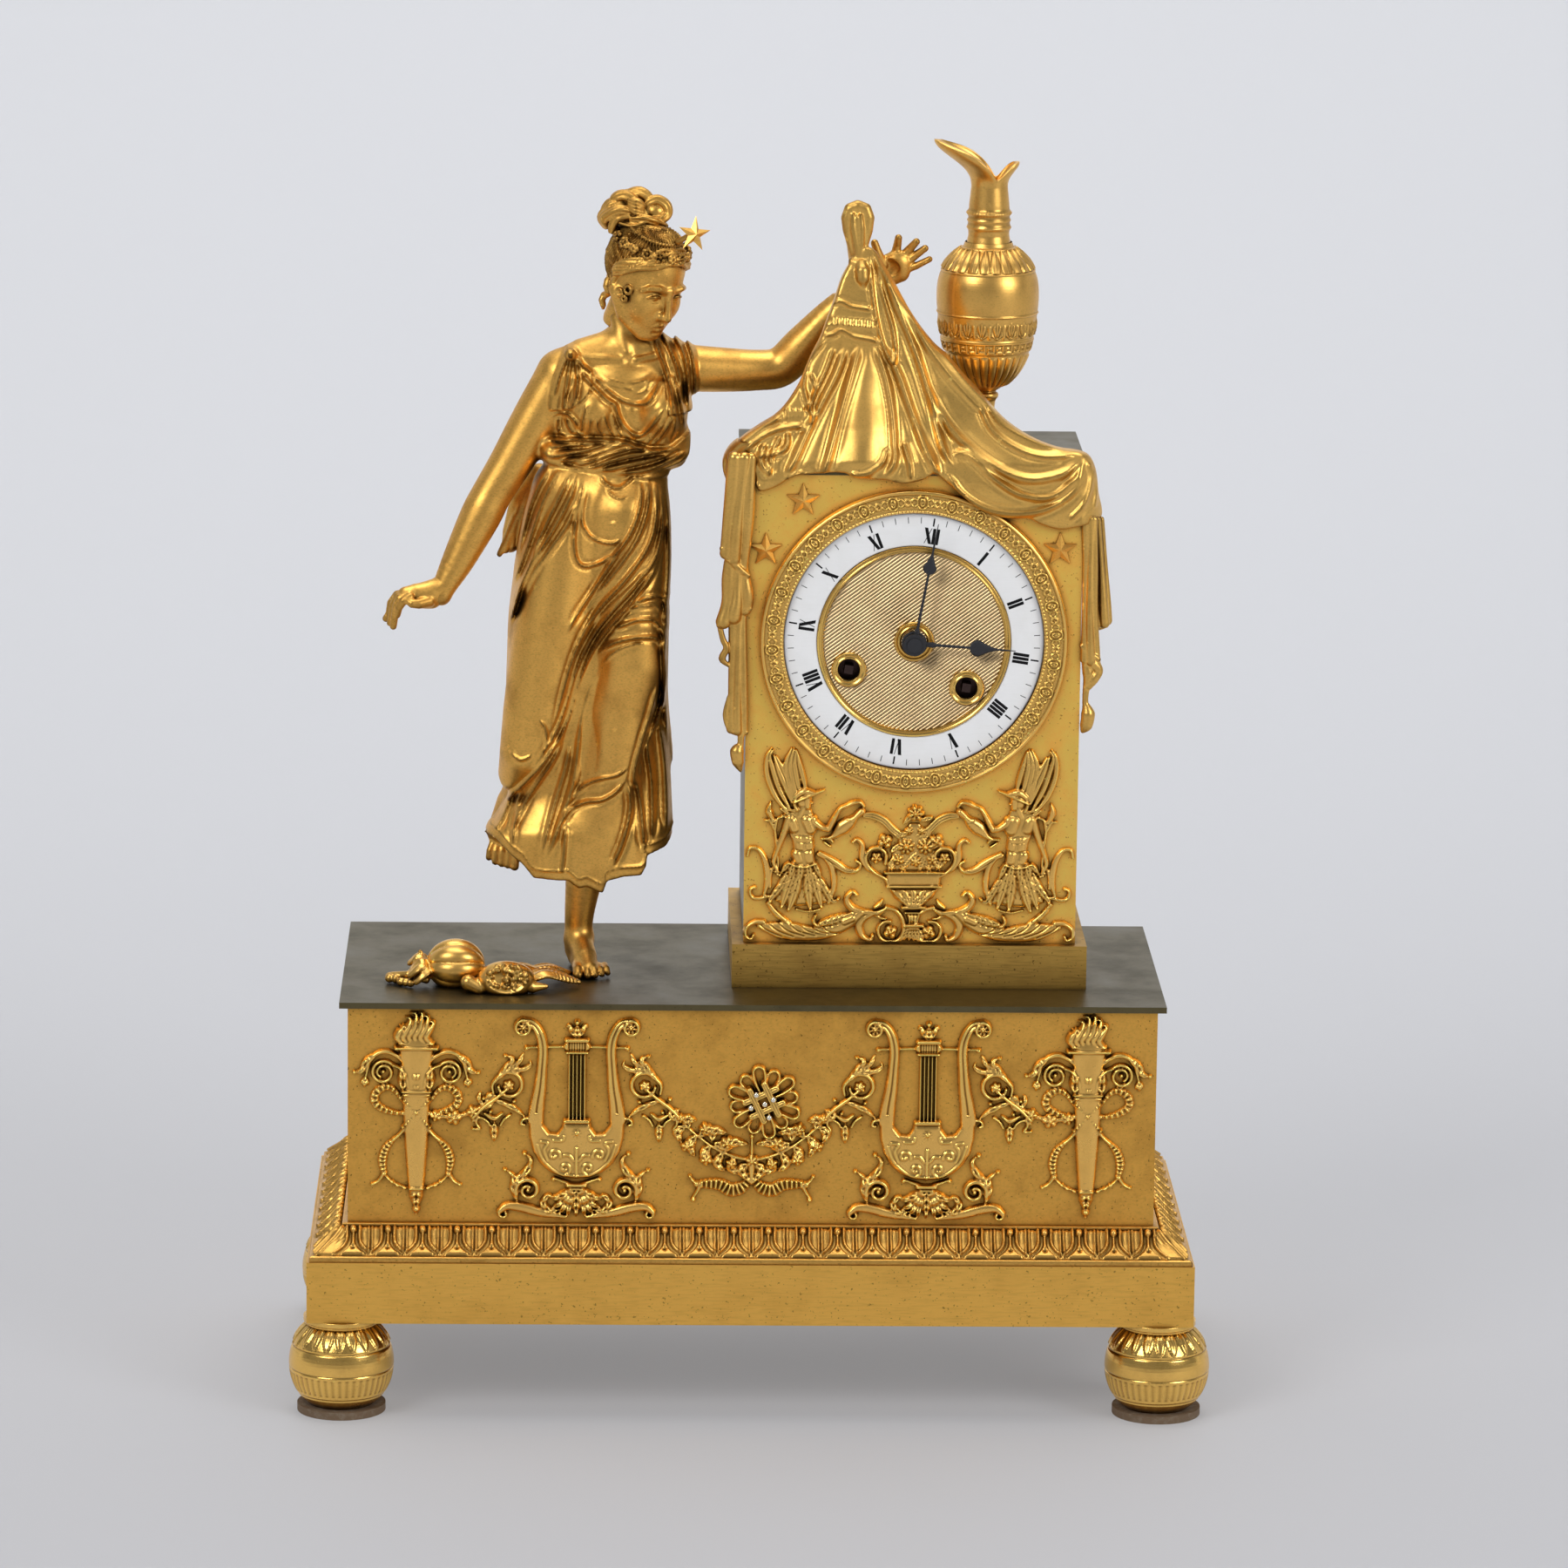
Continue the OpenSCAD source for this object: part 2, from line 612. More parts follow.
module head_at(c) {
    translate(c) rotate([12, 0, 28]) {
        scale([0.8, 0.96, 1.12]) sphere(r = 14, $fn = 22);
        link([0, -8.5, -8], 4.6, [0, -9.2, -10.5], 3.2);
        hull() {
            translate([0, -12.6, 2]) sphere(r = 1, $fn = 8);
            translate([0, -14.6, -3.4]) sphere(r = 1.5, $fn = 8);
            translate([0, -11, -3.8]) sphere(r = 2.2, $fn = 8);
        }
        translate([0, 3, 2.6]) scale([0.92, 1, 1]) sphere(r = 14.4, $fn = 22);
        rotate([-14, 0, 0]) translate([0, 0, 8])
            rotate_extrude($fn = 20) translate([12, 0]) circle(r = 2.1, $fn = 6);
        link([0, 8, 13], 7, [0, 7, 20], 7.6, 14);
        for (i = [0:5]) translate([6*cos(60*i), 7 + 6*sin(60*i), 22]) sphere(r = 3.4, $fn = 8);
        for (s = [-1, 1]) link([s*10.4, -2, -3], 2.4, [s*10, 1, -9], 1.8, 10);
    }
}

module figure_body() {
    skirt();
    loft([for (i = [0:10]) ring(torso_rows, lerp(160, 216, i/10), 32, 9, 0.02, 2)]);
    link([2, -11, 188], 7.6, [3, -12, 190], 6.6);
    link([19.5, -13, 188], 7.2, [19, -13.4, 190], 6.4);
    rotate([0, -4, 0]) translate([-3, 0, 172]) rotate([3, 0, 0]) intersection() {
        translate([12, -1, 0]) scale([1, 0.68, 0.34]) sphere(r = 23, $fn = 32);
        translate([-20, -30, -7]) cube([64, 60, 14]);
    }
    chain([[16.5, 0, 206], [18, -2, 214], [19.6, -4, 222]], [7, 6.3, 6]);
    head_at([21.4, -6, 226.5]);
    chain([[-9.5, 0, 198], [-21, -1, 178], [-33.5, -3, 157], [-41, -8, 140], [-46.5, -12, 127.5]],
        [7.4, 6.6, 5.4, 5, 3.3]);
    link([-46.5, -12, 127.5], 3.6, [-53.5, -15, 124.2], 3.6, 12);
    fingers([-56, -16, 122], [-5.5, -2, -7], [1.3, 1.9, 0.4], 1.35);
    chain([[-53, -15, 123.5], [-55.5, -19, 120.5]], [1.6, 1.2], 8);
    chain([[31, 1, 201], [48, 0, 199.5], [64.5, 1, 200], [76, 2, 213], [92.5, 2, 232]],
        [7.6, 6.8, 6, 5.6, 3.2]);
    link([92.5, 2, 232], 3.3, [99, 1, 236], 4, 12);
    for (i = [0:3]) let (a = 62 - 22*i, b = [100.5 + 0.6*i, 1, 238 - 1.6*i])
        chain([b, b + [6*cos(a), -1, 6*sin(a)],
              b + [10.5*cos(a - 6), -1.6, 10.5*sin(a - 6)]], [1.4, 1.25, 1], 6);
    chain([[99, 0, 233], [104, -3, 231], [108, -4, 232]], [1.5, 1.3, 1], 8);
    chain([[0.6, 2, 48], [0, 3, 24], [0, 4.6, 12], [0, 5, 6.4]], [9.4, 6, 4.4, 4.6]);
    chain([[0, 7, 4.4], [2, -6, 5], [4.4, -17, 2.8]], [4.2, 4.4, 3.2]);
    for (i = [0:4]) translate([1.2 + 1.9*i, -21 + 0.8*i, 1.7]) sphere(r = 1.7, $fn = 8);
    chain([[-21, 10, 58], [-26, 22, 41], [-28, 20, 33], [-28, 12, 31]], [7, 4.4, 3.6, 2.4]);
    chain([[-8, 8, 166], [-17, 11, 160], [-23, 13, 151], [-23.5, 14, 140]], [6, 5.4, 5, 4]);
}

module figure() {
    color(gilt) difference() {
        translate([fig_x, 0, deck_z]) scale(fig_scale) intersection() {
            figure_body();
            translate([-80, -50, 0]) cube([240, 100, 300]);
        }
        translate([fig_bolt[0], fig_bolt[1], deck_z - 1]) cylinder(r = 2.05, h = 7);
    }
}

module diadem_star() {
    color(gilt) translate([fig_x, 0, deck_z]) scale(fig_scale)
        translate([33.45, -15.3, 244.4]) rotate([90, 0, 20]) {
        linear_extrude(1.6, center = true) star_2d(6.2, 2.5);
        translate([-2.4, -4.6, 0]) rotate([0, 0, -28]) translate([-0.8, -4, -0.8]) cube([1.6, 8, 1.6]);
    }
}

// Case

module case_plinth() {
    color(gilt) translate([case_x, case_front_y + case_d/2, deck_z]) difference() {
        frame_box(case_w + 2*case_ledge, case_d + 2*case_ledge, case_plinth_h, case_ledge + 8);
        for (x = [-1, 1], y = [-1, 1])
            translate([x*(case_w/2 - 4), y*(case_d/2 - 4), -1]) cylinder(r = 1.6 + flat_gap, h = 9.6);
    }
}

module case_front() {
    color(gilt) difference() {
        box_at(case_x - case_w/2, case_x + case_w/2, case_front_y, case_front_y + front_t, case_z, case_top_z);
        face() disc([0, 0], panel_hole_r, 20, 40);
    }
}

module case_sides() {
    color(dark) for (s = [-1, 1]) translate([case_x + s*(case_w - case_wall)/2, 0, 0])
        box_at(-case_wall/2, case_wall/2, case_front_y + front_t, case_back_y - front_t, case_z, case_top_z);
}

hinge_x = door_hole_r + door_lap + 3.4;
hinge_y = case_back_y + 2.7;
hinge_r = 1;
knuckle_r = 2.3;
hinge_h = 7;

module case_back() {
    color(dark) {
        difference() {
            box_at(case_x - case_w/2, case_x + case_w/2, case_back_y - front_t, case_back_y, case_z, case_top_z);
            face() disc([0, 0], door_hole_r, -60, -30);
            for (s = strap_at) face() disc(s, 1.6 + flat_gap, -60, -30);
        }
        for (s = [-1, 1]) translate([case_x + hinge_x, hinge_y, dial_z + s*hinge_h - hinge_h/2 + 0.2])
            difference() {
                union() {
                    cylinder(r = knuckle_r, h = hinge_h - 0.4);
                    translate([0, -2.7 - 0.01, 0]) cube([5, 2.7, hinge_h - 0.4]);
                }
                translate([0, 0, -1]) cylinder(r = hinge_r + 0.02, h = hinge_h + 2);
            }
    }
}

module case_top() {
    w = case_w + 2*case_lap;
    color(dark) difference() {
        box_at(case_x - w/2, case_x + w/2, case_front_y, case_back_y + case_lap, case_top_z, roof_z);
        translate([ewer_x, ewer_y, case_top_z - 1]) cylinder(r = 1.6, h = case_top_t + 2);
    }
}

// Reliefs on the case front

module winged_2d() {
    // The figure stands left of the middle and leans towards it
    leaf(bez([-1, 38], [-9, 44], [-12, 54], [-9, 63]), 2.2);
    leaf(bez([-0.5, 38], [-4, 44], [-7, 54], [-4, 62]), 2);
    leaf(bez([0, 39], [0, 44], [-2, 52], [0.5, 58]), 1.6);
    band(bez([0, 41], [1.6, 36], [-2, 32], [0, 27]), 3.6, 3);
    translate([1.4, 45.6]) circle(r = 3);
    translate([-3, 46.4]) square([9.6, 1.5]);
    translate([1.2, 42]) circle(r = 1.5);
    band(bez([1, 39.5], [4, 37], [6, 34], [9.5, 38.5]), 1.4, 1);
    band(bez([-2, 39.5], [-5, 36], [-6, 32], [-4.5, 28]), 1.3, 1);
    leaf(bez([9, 39], [13, 39], [15, 42], [16.5, 44.5]), 2.4);
    leaf(bez([9, 37], [9.5, 44], [12, 50], [12.5, 54]), 1.7);
    for (i = [-2:2]) leaf(bez([i*0.6, 27], [i*3, 24], [i*4, 19], [i*3.4, 13.5 + abs(i)]), 1.9);
    band(bez([-1, 14], [-2, 10], [-9, 14], [-12.5, 22]), 1.2, 0.8);
    band(bez([-12.5, 22], [-14, 28], [-11, 31], [-10, 36]), 0.8, 0.8);
    leaf(bez([-10.5, 34], [-13, 37], [-11, 40], [-11.5, 43]), 1.4);
    band(bez([-3, 13], [-6, 6], [-12, 5], [-16, 9]), 1.2, 0.9);
    leaf(bez([6, 12], [0, 2], [-9, 6], [-17.5, 2.6]), 2.6);
    band(bez([4, 14], [8, 18], [11, 24], [9, 29]), 1.1, 0.8);
    band(bez([6, 12], [10, 10], [13, 12], [18, 9]), 1, 1.3);
    band(spiral([16.6, 5.4], 3.6, 0.9, 70, -280), 1, 0.7);
}

panel_x = 34.6;

module winged_mounts() {
    color(gilt) for (s = [-1, 1]) relief(case_x, case_front_y, case_z) mirror([s > 0 ? 1 : 0, 0, 0])
        translate([-panel_x, 0, 0]) {
            linear_extrude(1.6) winged_2d();
            translate([-0.4, 34, 1.4]) cylinder(r = 2.6, h = 1.2);
            translate([1.4, 45.6, 1.4]) cylinder(r = 2.2, h = 1.2);
        }
}

module basket_2d() {
    polygon([[-8.5, 30], [8.5, 30], [5.4, 22.5], [-5.4, 22.5]]);
    polygon([[-1.6, 23], [1.6, 23], [1.6, 19], [4.6, 15.6], [-4.6, 15.6], [-1.6, 19]]);
    polygon([[-7, 29], [7, 29], [3.6, 35], [-3.6, 35]]);
    for (i = [-3:3]) translate([2.5*i, 30.6 + 5*cos(26*i)]) circle(r = 2.3);
    for (i = [-2:2]) leaf(bez([i*2, 35], [i*2.6, 39], [i*3.4, 42], [i*3.4, 46 - abs(i)*2.4]), 1.5);
    translate([0, 44.5]) circle(r = 2.4);
    both_sides() {
        band(bez([7, 30], [14, 33], [15, 25], [9, 24]), 0.9, 0.7);
        band(bez([1, 15], [7, 16], [9, 10], [3.4, 8]), 1.1, 0.9);
        leaf(bez([2, 14], [8, 20], [11, 15], [14, 17]), 1.5);
        band(spiral([5.4, 3.8], 2.8, 0.8, 120, -220), 0.9, 0.6);
        band(bez([5, 35], [9, 42], [14, 44], [16.6, 39]), 0.8, 0.6);
    }
    polygon([[-1.4, 16], [1.4, 16], [2.2, 6], [-2.2, 6]]);
    translate([0, 9.6]) circle(r = 2.9);
    translate([-5.4, 0.9]) square([10.8, 1.8]);
    translate([0, 5]) circle(r = 2.6);
}

module basket_mount() {
    color(gilt) relief(case_x, case_front_y, case_z) {
        linear_extrude(1.8) basket_2d();
        for (i = [-2:2]) translate([3*i, 33.5 + 2*cos(30*i), 1.6]) cylinder(r = 1.6, h = 1.1);
    }
}

star_at = [[-36.6, 45.2], [-48.6, 29], [47.2, 29.7]];
module star_mounts() {
    color(gilt) for (s = star_at) relief(case_x + s[0], case_front_y, dial_z + s[1])
        {
            linear_extrude(0.9) star_2d(5.4, 2.3);
            linear_extrude(1.7) star_2d(3.4, 1.2);
        }
}

// Drape: a tent of cloth from a knot down over the top and front of the case

drape_t = 2.4;
left_edge = [[30, -13, 377], [24.7, -17, 362], [15.1, -21, 342], [7.4, -25, 328.5], [-1.7, -29, 321],
    [-10.5, -34.5, 314], [-10.7, -35.5, 305]];
right_edge = [[38.5, -13, 378], [47.5, -16, 364.5], [58.1, -19, 349.3], [73.8, -23, 330.3], [90.7, -28, 319.3],
    [106, -33.5, 313.2], [112.4, -36, 294]];
hem_edge = [[-10.7, -35.5, 305], [-0.3, -35.5, 302.8], [13.9, -35.5, 308.2], [24.3, -35.5, 308.9],
    [35.9, -36, 306.7], [48.9, -36, 306.2], [58, -36, 307.9], [68.5, -36.5, 299.8], [80.1, -37.5, 294.7],
    [90.6, -38, 291.7], [104.9, -37.5, 291.2], [112.4, -36, 294]];
function along(path, t) =
    let (n = len(path) - 1, u = min(t, 0.99999)*n, i = floor(u)) lerp(path[i], path[i + 1], u - i);
function drape_point(s, t) = let (
    top = lerp(left_edge[0], right_edge[0], s),
    low = along(hem_edge, s),
    patch = lerp(along(left_edge, t), along(right_edge, t), s) + lerp(top, low, t)
        - lerp(lerp(left_edge[0], right_edge[0], s), lerp(left_edge[6], right_edge[6], s), t),
    fold = 1.5*smooth(4*t)*smooth(5*s)*smooth(5*(1 - s))*cos(360*6*pow(s, 0.9) + 70*t)
        - 6*sin(180*s)*smooth(t*1.6)*(1 - t))
    patch + [0, fold, 0];
drape_ns = 48;
drape_nt = 12;

module drape_shell() {
    w = drape_ns + 1;
    count = w*(drape_nt + 1);
    outer = [for (j = [0:drape_nt], i = [0:drape_ns]) drape_point(i/drape_ns, j/drape_nt)];
    inner = [for (p = outer) p + [0, drape_t, 0]];
    cells = [for (j = [0:drape_nt - 1], i = [0:drape_ns - 1]) j*w + i];
    rim = concat([for (i = [0:drape_ns - 1]) i], [for (j = [0:drape_nt - 1]) j*w + drape_ns],
        [for (i = [drape_ns:-1:1]) drape_nt*w + i], [for (j = [drape_nt:-1:1]) j*w]);
    polyhedron(points = concat(outer, inner), faces = concat(
        [for (c = cells) [c, c + 1, c + w + 1]], [for (c = cells) [c, c + w + 1, c + w]],
        [for (c = cells) [count + c, count + c + w + 1, count + c + 1]],
        [for (c = cells) [count + c, count + c + w, count + c + w + 1]],
        [for (k = [0:len(rim) - 1]) let (a = rim[k], b = rim[(k + 1) % len(rim)]) [a, count + b, b]],
        [for (k = [0:len(rim) - 1]) let (a = rim[k], b = rim[(k + 1) % len(rim)]) [a, count + a, count + b]]),
        convexity = 8);
}

// Roof level that the cloth's points are given for
cloth_roof_z = 309.3;

module drape() {
    color(gilt) translate([0, 0, roof_z - cloth_roof_z]) {
        drape_shell();
        chain([[33, -12.5, 376], [30.4, -11, 384], [30, -10.5, 390.5], [32, -10.5, 392.8], [34, -11, 390],
            [34.4, -13, 384], [34, -16, 378], [33.4, -18, 373]], [4, 3.2, 3, 2.4, 3, 3, 3.2, 2.6]);
        link([33.4, -17, 371], 2.7, [33.4, -18.4, 368.4], 1.6);
    }
}

// The two hanging ends of the cloth with their bud tassels
module tail_2d(drop, w) {
    polygon([[0, 0], [w, 0], [w + 0.8, -drop*0.3], [w*0.7, -drop*0.55], [w*0.9, -drop*0.8], [w*0.6, -drop],
        [w*0.2, -drop*0.97], [-w*0.1, -drop*0.7], [-w*0.35, -drop*0.5], [-w*0.05, -drop*0.25]]);
}

module drape_tails() {
    left_x = case_x - case_w/2;
    right_x = case_x + case_w/2;
    drop = 80;
    color(gilt) {
        relief(left_x - 8, case_front_y - seat, dial_z + 51) {
            linear_extrude(2.6) tail_2d(drop, 8);
            translate([0, 0, 2.4]) linear_extrude(1.6) band([[5.6, -2], [6, -24], [3.6, -46], [4, -76]], 1.4, 1);
            translate([2, -drop - 5.5, 1.5]) {
                sphere(r = 1.6);
                rotate([90, 0, 0]) cylinder(r1 = 1.2, r2 = 2.6, h = 7);
                translate([0, 9, 0]) rotate([90, 0, 0]) cylinder(r = 0.8, h = 9.4);
                translate([0, -7, 0]) sphere(r = 2.6);
            }
        }
        translate([right_x + seat, case_front_y - 2, 0]) {
            translate([0, 0, dial_z + 38.5]) rotate([90, 0, 90]) linear_extrude(2.6)
                polygon([[0, 0], [15, 2], [14, -22], [11, -36], [12, -52], [6, -54], [2, -36], [-1, -18]]);
            translate([2.6, 4, dial_z + 38.5]) rotate([90, 0, 90]) linear_extrude(1.8)
                polygon([[0, 0], [4, 0], [5, -30], [3, -40], [0.5, -26]]);
            translate([2.6, 8, dial_z - 24]) {
                sphere(r = 2.4);
                cylinder(r1 = 2.2, r2 = 1, h = 7);
                cylinder(r = 0.8, h = 9.4);
            }
        }
    }
}

// Ewer

ewer_y = 6;
neck_z = roof_z + ewer_body_h;

module ewer_body() {
    h = ewer_body_h;
    r = ewer_r;
    belly = h*0.775;
    color(gilt) translate([ewer_x, ewer_y, roof_z]) difference() {
        rotate_extrude() polygon(concat([[0, 0], [11, 0], [11, 2], [7.5, 3.4],
                                      [4, 6], [2.6, 11], [3, 15], [3.4, 17.4]],
            [for (a = [-62:8:90]) [r*cos(a), belly + (a < 0 ? (belly - 22)*sin(a) : (h - belly - 4)*sin(a))]],
            [[0, h - 4]]));
        translate([0, 0, -1]) cylinder(r = 1.55, h = 12);
    }
    color(gilt) translate([ewer_x, ewer_y, roof_z + h - 5.2]) cylinder(r = neck_r + 0.6, h = 5.2);
}

module ewer_neck() {
    lip = 20;
    color(gilt) translate([ewer_x, ewer_y, neck_z]) {
        rotate_extrude() polygon([[0, 0], [neck_r, 0], [neck_r - 0.4, 3],
                                   [neck_r + 0.5, 3.2], [neck_r + 0.5, 4.6],
            [neck_r - 0.4, 4.8], [neck_r - 0.2, 8], [neck_r + 0.7, 8.2], [neck_r + 0.7, 9.6], [neck_r - 0.3, 9.8],
            [neck_r, lip], [neck_r - 1.4, lip], [neck_r - 1.6, 3], [0, 3]]);
        difference() {
            rotate([90, 0, 0]) linear_extrude(2*neck_r, center = true)
                polygon([[-neck_r, lip], [neck_r, lip], [neck_r + 3, lip + 7.4], [neck_r + 2.4, lip + 8.8],
                    [neck_r - 3, lip + 3.4], [1, lip + 2.2], [-6, lip + 6.8],
                     [-12, lip + 12.4], [-18, lip + 15.2],
                    [-18.6, lip + 14], [-14, lip + 9.8], [-9.6, lip + 4.6]]);
            translate([0, 0, lip - 1]) rotate([90, 0, 0]) linear_extrude(2*neck_r - 2.8, center = true)
                polygon([[-neck_r + 1.4, 0], [neck_r - 1.4, 0], [neck_r + 1.6, 8.8], [neck_r + 5, 24], [-30, 24],
                    [-13.2, 12], [-8.2, 5.6]]);
        }
    }
}

module ewer_rod() {
    color(steel) translate([ewer_x, ewer_y, case_top_z - 3]) {
        cylinder(r = 3, h = 3);
        cylinder(r = 1.5, h = 3 + case_top_t + 10);
    }
}

// Dial

module bezel() {
    r = bezel_r;
    w = r - enamel_r - 0.2;
    color(gilt) face() translate([0, 0, face_w]) rotate_extrude($fn = 96) polygon([[r, 0], [r, 1.2],
        [r - 1, 2.4], [r - 1.6, bezel_t - 0.6], [r - w*0.35, bezel_t], [r - w*0.75, bezel_t - 0.5],
        [r - w + 0.4, bezel_t - 0.9], [r - w, bezel_t - 1.6], [r - w, 0]]);
}

module enamel_ring() {
    color("white") face() difference() {
        translate([0, 0, dial_back_w + 1.4]) rotate_extrude($fn = 96)
            polygon([[enamel_in_r, 0], [enamel_r, 0], [enamel_r, 1.6], [lerp(enamel_in_r, enamel_r, 0.5), 2.1],
                [enamel_in_r, 1.9]]);
    }
}

hole_r = 3.6;
centre_hole_r = 4.4;
module dial_centre() {
    r = enamel_in_r - 0.15;
    color(gilt) mv() difference() {
        union() {
            disc([0, 0], r, dial_back_w + 1.4, dial_back_w + 2.9);
            tube([0, 0], r, r - 1.8, dial_back_w + 2.8, dial_back_w + 3.8);
        }
        for (p = [going_at, strike_at]) disc(p, hole_r, 20, 40);
        disc([0, 0], centre_hole_r, 20, 40);
    }
}

module dial_plate() {
    color(brass) mv() difference() {
        union() {
            disc([0, 0], panel_hole_r - 0.5, dial_back_w, dial_back_w + 1.4);
            for (p = dial_foot_at) disc(p, 1.4, mv_front_w + mv_plate_t, dial_back_w + 0.5);
        }
        for (p = [going_at, strike_at]) disc(p, hole_r + 0.6, 20, 40);
        disc([0, 0], centre_hole_r + 0.6, dial_back_w - 1, 40);
    }
}

module winding_collets() {
    color(gilt) mv() for (p = [going_at, strike_at])
        tube(p, hole_r + 1.6, hole_r - 0.3, dial_back_w + 2.9, dial_back_w + 3.7);
}

module centre_collet() {
    color(gilt) mv() tube([0, 0], centre_hole_r + 1.9,
                           centre_hole_r - 0.3, dial_back_w + 2.9, dial_back_w + 4.1);
}

// A hand with a pear near its tip, pointing up
module hand_2d(len, pear, pear_r, hub, hole) {
    difference() {
        union() {
            circle(r = hub);
            polygon([[-0.75, 0], [0.75, 0], [0.5, pear - 2*pear_r], [-0.5, pear - 2*pear_r]]);
            polygon([[-0.45, pear - 3*pear_r], [0.45, pear - 3*pear_r], [pear_r*0.92, pear - pear_r*0.35],
                [-pear_r*0.92, pear - pear_r*0.35]]);
            translate([0, pear]) circle(r = pear_r);
            polygon([[-pear_r*0.9, pear + pear_r*0.4],
                     [pear_r*0.9, pear + pear_r*0.4], [0.42, pear + pear_r*2.3],
                [0.2, len], [-0.2, len], [-0.42, pear + pear_r*2.3]]);
        }
        circle(r = hole);
    }
}

cannon_r = 1.5;
hour_pipe_r = 2.4;
hour_hand_w = 34.7;
minute_hand_w = 36.2;
hand_t = 0.7;

module minute_hand() {
    color("#202228") face() translate([0, 0, minute_hand_w]) linear_extrude(hand_t)
        rotate(-minute_at) hand_2d(minute_len, minute_len - 14.9, 2.25, 3.4, cannon_r + flat_gap);
}

module hour_hand() {
    color("#202228") face() translate([0, 0, hour_hand_w]) linear_extrude(hand_t)
        rotate(-hour_at) hand_2d(hour_len, hour_len - 12.2, 2.5, 4.2, hour_pipe_r + flat_gap);
}

module hand_nut() {
    color("#3a2f28") face() difference() {
        union() {
            disc([0, 0], 3.6, minute_hand_w + hand_t, minute_hand_w + hand_t + 1.2);
            disc([0, 0], 2.4, minute_hand_w + hand_t + 1.1, minute_hand_w + hand_t + 1.8);
        }
        disc([0, 0], arbor_r - 0.1 + flat_gap, 30, minute_hand_w + hand_t + 1.3);
    }
}

// Movement

way_great = heading(going_at, [0, 0]);
great_phase = way_great;
centre_phase = mesh_phase(way_great, great_phase, great_z, leaf_z);
way_third = heading([0, 0], third_at);
centre_wheel_phase = way_third;
third_pinion_phase = mesh_phase(way_third, centre_wheel_phase, wheel_z, pinion_z);
way_escape = heading(third_at, escape_at);
escape_pinion_phase = mesh_phase(way_escape, way_escape, third_z, pinion_z);
way_minute = heading([0, 0], minute_wheel_at);
minute_phase = mesh_phase(way_minute, way_minute, cannon_z, minute_z);
small_phase = way_minute + 180;
hour_phase = mesh_phase(way_minute + 180, small_phase, small_z, hour_z);
way_pin = heading(strike_at, pin_at);
pin_pinion_phase = mesh_phase(way_pin, way_pin, great_z, leaf_z);
way_lock = heading(pin_at, lock_at);
lock_pinion_phase = mesh_phase(way_lock, way_lock, wheel_z, pinion_z);
way_fly = heading(lock_at, fly_at);
fly_phase = mesh_phase(way_fly, way_fly, third_z, pinion_z);

// Planes of the wheels, counted forward
going_great_w = 10;
strike_great_w = mv_back_w + 2;
centre_wheel_w = 16;
third_wheel_w = 13;
escape_w = 5;
pin_w = 13;
lock_w = 10;
motion_w = 24.5;
hour_w = 26;
wheel_t = 1;
barrel_r = 16.4;

module movement_plates() {
    through = [[[0, 0], arbor_r], [going_at, wind_r], [third_at, pivot_r], [escape_at, pivot_r],
        [pin_at, pivot_r], [lock_at, pivot_r], [fly_at, pivot_r], [anchor_at, pivot_r]];
    color(brass) mv() {
        difference() {
            disc([0, 0], mv_plate_r, mv_front_w, mv_front_w + mv_plate_t);
            for (h = through) disc(h[0], h[1] + run_gap, 10, 30);
            disc(strike_at, wind_r + run_gap, 10, 30);
            disc(hammer_at, pivot_r + run_gap, 10, 30);
        }
        disc(minute_wheel_at, 0.8, mv_front_w + mv_plate_t - 0.5, hour_w + 1.4);
        for (s = [-1, 1]) translate([s*29, arm_y + 4, mv_front_w + mv_plate_t]) linear_extrude(1.2)
            polygon([[-s*2, -1], [-s*1.6, 1.4], [s*2, 6], [s*3, 4]]);
        difference() {
            disc([0, 0], mv_plate_r, mv_back_w - mv_plate_t, mv_back_w);
            for (h = through) disc(h[0], h[1] + run_gap, -20, 0);
            disc(strike_at, pipe_r + run_gap, -20, 0);
            disc(hammer_at, arbor_r + run_gap, -20, 0);
        }
    }
}

module pillars() {
    color(brass) mv() for (p = pillar_at) disc(p, 2, mv_back_w, mv_front_w);
}

module centre_arbor() {
    color(brass) mv() {
        disc([0, 0], arbor_r, mv_back_w - mv_plate_t, motion_w + 1);
        disc([0, 0], arbor_r - 0.1, motion_w, minute_hand_w + hand_t + 1.2);
        pinion([0, 0], great_m, leaf_z, centre_phase, going_great_w - 0.6, 2.6);
        wheel([0, 0], centre_m, wheel_z, centre_wheel_phase, centre_wheel_w, wheel_t);
        pinion([0, 0], motion_m, cannon_z, way_minute, motion_w, wheel_t);
        disc([0, 0], cannon_r, motion_w + 0.9, minute_hand_w + hand_t - 0.05);
    }
}

module minute_wheel() {
    color(brass) mv() difference() {
        union() {
            wheel(minute_wheel_at, motion_m, minute_z, minute_phase, motion_w, wheel_t, 0);
            pinion(minute_wheel_at, small_m, small_z, small_phase, motion_w + 0.9, hour_w - motion_w + 0.3);
        }
        disc(minute_wheel_at, 0.8 + run_gap, 20, 30);
    }
}

module hour_wheel() {
    color(brass) mv() difference() {
        union() {
            wheel([0, 0], small_m, hour_z, hour_phase, hour_w, wheel_t, 0);
            disc([0, 0], hour_pipe_r, hour_w + 0.5, hour_hand_w + hand_t - 0.05);
        }
        disc([0, 0], cannon_r + run_gap, 20, 40);
    }
}

module going_barrel() {
    color(brass) mv() difference() {
        union() {
            wheel(going_at, great_m, great_z, great_phase, going_great_w, 1.5, 0);
            disc(going_at, barrel_r, mv_back_w + 1, going_great_w + 0.5);
        }
        disc(going_at, wind_r + run_gap, -20, 20);
    }
}

